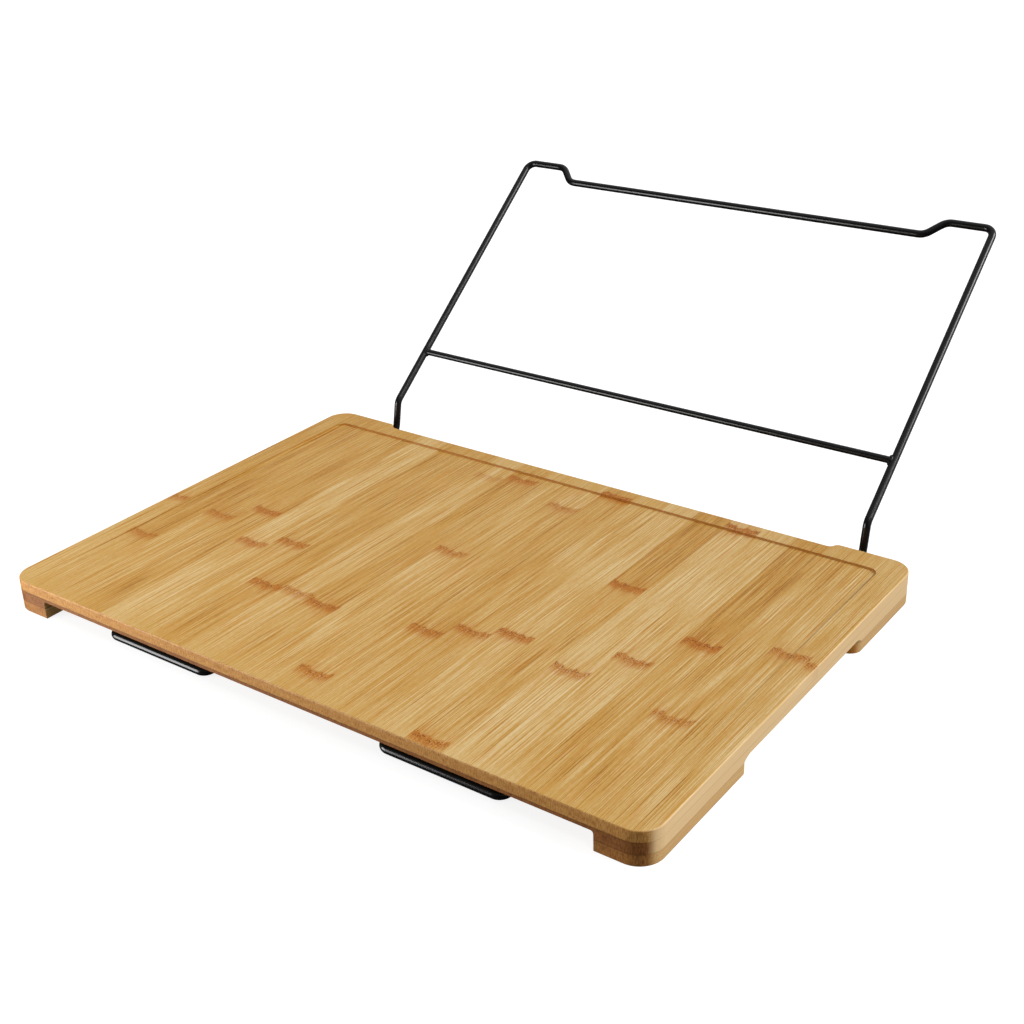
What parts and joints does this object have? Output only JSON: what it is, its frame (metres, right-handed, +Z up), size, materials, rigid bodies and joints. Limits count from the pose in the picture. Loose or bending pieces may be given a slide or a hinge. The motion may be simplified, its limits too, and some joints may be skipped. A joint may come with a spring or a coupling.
{
  "type": "book display stand",
  "caption": "Flat bamboo stand on four corner feet with a folding wire frame leaning back behind it and two fold-down wire legs under its front edge.",
  "frame": {"origin": "on the table, in the middle of the stand's whole footprint, back frame included", "axes": "+Z up; -Y towards the reader at the board's front edge; +Y towards the back frame; +X to the reader's right"},
  "size_m": [0.45, 0.4968, 0.1715],
  "materials": {
    "bamboo_top": "satin oiled bamboo, strips running front to back",
    "bamboo_core": "satin oiled bamboo, darker core ply",
    "bamboo_foot": "satin oiled bamboo",
    "black_wire": "semi-gloss black powder coat on steel wire",
    "clip_steel": "black coated steel strip",
    "screw_steel": "zinc plated"
  },
  "bodies": {
    "board": {"top_ply": "bamboo_top", "middle_ply": "bamboo_core", "foot_front_left": "bamboo_foot", "foot_front_right": "bamboo_foot", "foot_rear_left": "bamboo_foot", "foot_rear_right": "bamboo_foot", "back_clip_left": "clip_steel", "front_clip_left_outer": "clip_steel", "front_clip_left_inner": "clip_steel", "back_clip_screws_left": "screw_steel", "front_clip_screws_left": "screw_steel", "back_clip_right": "clip_steel", "front_clip_right_outer": "clip_steel", "front_clip_right_inner": "clip_steel", "back_clip_screws_right": "screw_steel", "front_clip_screws_right": "screw_steel"},
    "back_frame": {"back_frame_wire": "black_wire", "back_frame_cross_bar": "black_wire"},
    "leg_left": {"front_leg_left": "black_wire"},
    "leg_right": {"front_leg_right": "black_wire"}
  },
  "joints": [
    {"name": "back_frame_fold", "type": "hinge", "parent": "board", "child": "back_frame", "pos_m": [0, -0.0059, 0.0088], "axis": [-1, 0, 0], "range_deg": [-6, 173.5]},
    {"name": "leg_left_fold", "type": "hinge", "parent": "board", "child": "leg_left", "pos_m": [-0.10225, -0.1824, 0.0088], "axis": [1, 0, 0], "range_deg": [-6, 106]},
    {"name": "leg_right_fold", "type": "hinge", "parent": "board", "child": "leg_right", "pos_m": [0.10225, -0.1824, 0.0088], "axis": [1, 0, 0], "range_deg": [-6, 106]}
  ]
}
